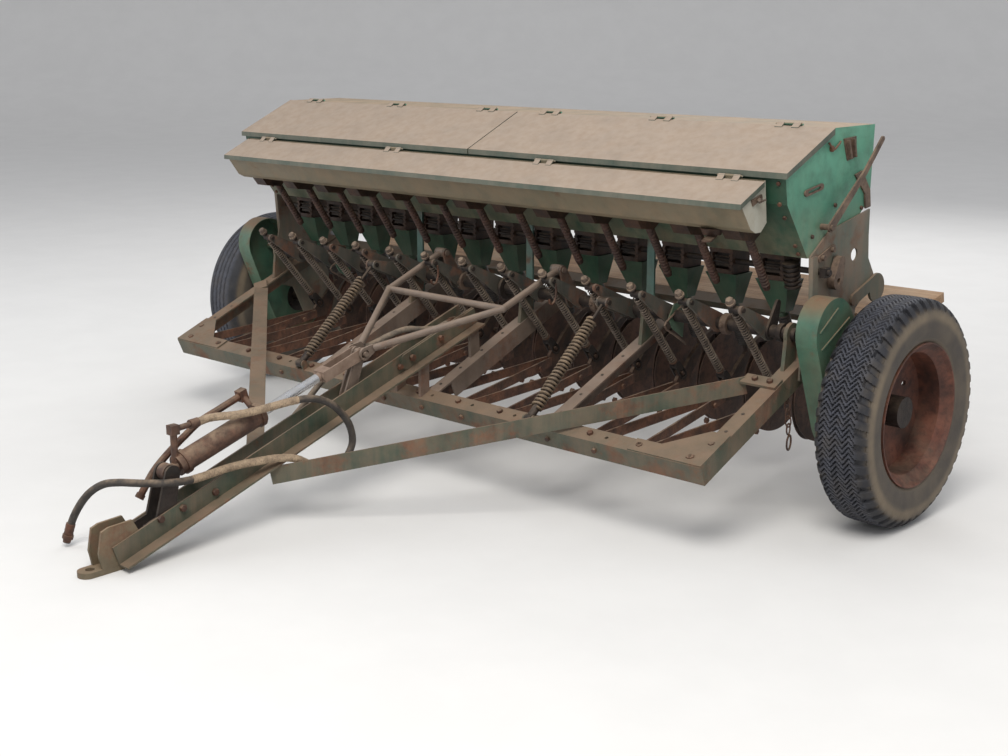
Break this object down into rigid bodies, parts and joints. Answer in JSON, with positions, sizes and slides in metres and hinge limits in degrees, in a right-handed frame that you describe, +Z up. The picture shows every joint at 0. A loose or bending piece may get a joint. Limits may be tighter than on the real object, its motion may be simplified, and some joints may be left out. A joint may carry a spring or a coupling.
{
  "type": "towed grain seed drill",
  "caption": "Towed grain seed drill with a long hopper, double-disc openers on a lifting rockshaft, an offset tongue with a lift cylinder, and two end wheels.",
  "frame": {"origin": "middle of the bounding box's footprint, on the ground the drill stands on", "axes": "+X across the machine to the right as seen from the tongue's end, -Y along the tongue to the hitch, +Z up"},
  "size_m": [2.99, 2.4628, 1.1513],
  "materials": {
    "green_paint": "worn",
    "teal_paint": "worn",
    "tan_paint": "dusty",
    "rust_steel": "rusty",
    "dark_steel": "worn",
    "tyre_rubber": "dusty",
    "rim_paint": "rusty",
    "chrome_rod": "polished",
    "board_wood": "weathered",
    "ribbed_rubber": "dusty",
    "black_rubber": "dusty",
    "cast_brown": "rusty",
    "disc_steel": "rusty",
    "spring_steel": "worn"
  },
  "bodies": {
    "frame": {"front_bar": "green_paint", "side_rails": "green_paint", "inner_rails": "tan_paint", "rear_bar": "green_paint", "opener_lugs": "rust_steel", "tongue": "green_paint", "hitch": "rust_steel", "braces": "green_paint", "tongue_stand": "tan_paint", "cylinder_mount": "dark_steel", "end_plates": "tan_paint", "spindles": "dark_steel", "shaft_bearings": "green_paint", "uprights": "teal_paint", "hopper": "teal_paint", "small_box": "tan_paint", "small_cups": "cast_brown", "grass_tubes": "ribbed_rubber", "feed_cups": "cast_brown", "feed_shaft": "dark_steel", "seed_funnels": "green_paint", "seed_tubes": "black_rubber", "foot_board": "board_wood", "board_brackets": "green_paint", "drive_guards": "green_paint", "feed_lever": "tan_paint", "seed_shutoff": "tan_paint", "panel_irons": "rust_steel", "supply_hose": "black_rubber", "grey_hose": "black_rubber", "hose_unions": "rust_steel"},
    "lid_left": {"lid_left": "tan_paint"},
    "lid_right": {"lid_right": "tan_paint"},
    "small_lid": {"small_lid": "tan_paint"},
    "wheel_left": {"tyre_left": "tyre_rubber", "rim_left": "rim_paint", "hub_left": "dark_steel"},
    "wheel_right": {"tyre_right": "tyre_rubber", "rim_right": "rim_paint", "hub_right": "dark_steel"},
    "rockshaft": {"rockshaft": "rust_steel", "lift_arms": "green_paint"},
    "press_rods": {"press_rods": "rust_steel", "press_springs": "spring_steel"},
    "openers": {"drawbars": "rust_steel", "boots": "cast_brown", "discs": "disc_steel"},
    "yoke": {"yoke": "tan_paint"},
    "rocker": {"rocker": "tan_paint"},
    "barrel": {"barrel": "dark_steel", "cylinder_lines": "rust_steel"},
    "cylinder_rod": {"cylinder_rod": "chrome_rod"},
    "assist_rods": {"assist_rods": "dark_steel"},
    "assist_tubes": {"assist_tubes": "dark_steel", "assist_springs": "rust_steel"}
  },
  "joints": [
    {"name": "wheel_left_spin", "type": "hinge", "parent": "frame", "child": "wheel_left", "pos_m": [-1.41, 0.6406, 0.336], "axis": [1, 0, 0], "continuous": true},
    {"name": "wheel_right_spin", "type": "hinge", "parent": "frame", "child": "wheel_right", "pos_m": [1.41, 0.6406, 0.336], "axis": [1, 0, 0], "continuous": true},
    {"name": "lid_left_open", "type": "hinge", "parent": "frame", "child": "lid_left", "pos_m": [-0.6, 0.5636, 1.1463], "axis": [-1, 0, 0], "range_deg": [0, 125]},
    {"name": "lid_right_open", "type": "hinge", "parent": "frame", "child": "lid_right", "pos_m": [0.6, 0.5636, 1.1463], "axis": [-1, 0, 0], "range_deg": [0, 125]},
    {"name": "small_lid_open", "type": "hinge", "parent": "frame", "child": "small_lid", "pos_m": [0, 0.3056, 1.0165], "axis": [-1, 0, 0], "range_deg": [0, 80]},
    {"name": "rockshaft_turn", "type": "hinge", "parent": "frame", "child": "rockshaft", "pos_m": [0, 0.4456, 0.56], "axis": [1, 0, 0], "range_deg": [0, 30]},
    {"name": "opener_lower", "type": "hinge", "parent": "frame", "child": "openers", "pos_m": [0, 0.02176, 0.26931], "axis": [1, 0, 0], "range_deg": [-5.81, 0]},
    {"name": "press_rod_swing", "type": "hinge", "parent": "rockshaft", "child": "press_rods", "pos_m": [0, 0.3026, 0.64], "axis": [1, 0, 0], "range_deg": [-23.4, 0]},
    {"name": "rocker_swing", "type": "hinge", "parent": "frame", "child": "rocker", "pos_m": [0.0579, -0.2804, 0.325], "axis": [1, 0, 0], "range_deg": [0, 26.2]},
    {"name": "yoke_swing", "type": "hinge", "parent": "rockshaft", "child": "yoke", "pos_m": [0.0579, 0.3956, 0.66], "axis": [1, 0, 0], "range_deg": [-34.29, 0]},
    {"name": "barrel_tilt", "type": "hinge", "parent": "frame", "child": "barrel", "pos_m": [0.0579, -0.9394, 0.229], "axis": [1, 0, 0], "range_deg": [0, 2.21]},
    {"name": "rod_slide", "type": "slide", "parent": "barrel", "child": "cylinder_rod", "axis": [0, 0.9548, 0.2971], "range_m": [-0.05234, 0]},
    {"name": "assist_rod_swing", "type": "hinge", "parent": "rockshaft", "child": "assist_rods", "pos_m": [0, 0.3106, 0.599], "axis": [1, 0, 0], "range_deg": [-37.08, 0]},
    {"name": "assist_tube_swing", "type": "hinge", "parent": "frame", "child": "assist_tubes", "pos_m": [0, -0.03066, 0.29616], "axis": [1, 0, 0], "range_deg": [-7.05, 0]}
  ],
  "couplings": [
    {"joint": "opener_lower", "follows": "rockshaft_turn", "ratio": -0.1935},
    {"joint": "press_rod_swing", "follows": "rockshaft_turn", "ratio": -0.7791},
    {"joint": "rocker_swing", "follows": "rockshaft_turn", "ratio": 0.8725},
    {"joint": "yoke_swing", "follows": "rockshaft_turn", "ratio": -1.1419},
    {"joint": "barrel_tilt", "follows": "rockshaft_turn", "ratio": 0.07355},
    {"joint": "rod_slide", "follows": "rockshaft_turn", "m_per_rad": -0.09986},
    {"joint": "assist_rod_swing", "follows": "rockshaft_turn", "ratio": -1.2349},
    {"joint": "assist_tube_swing", "follows": "rockshaft_turn", "ratio": -0.2349}
  ]
}
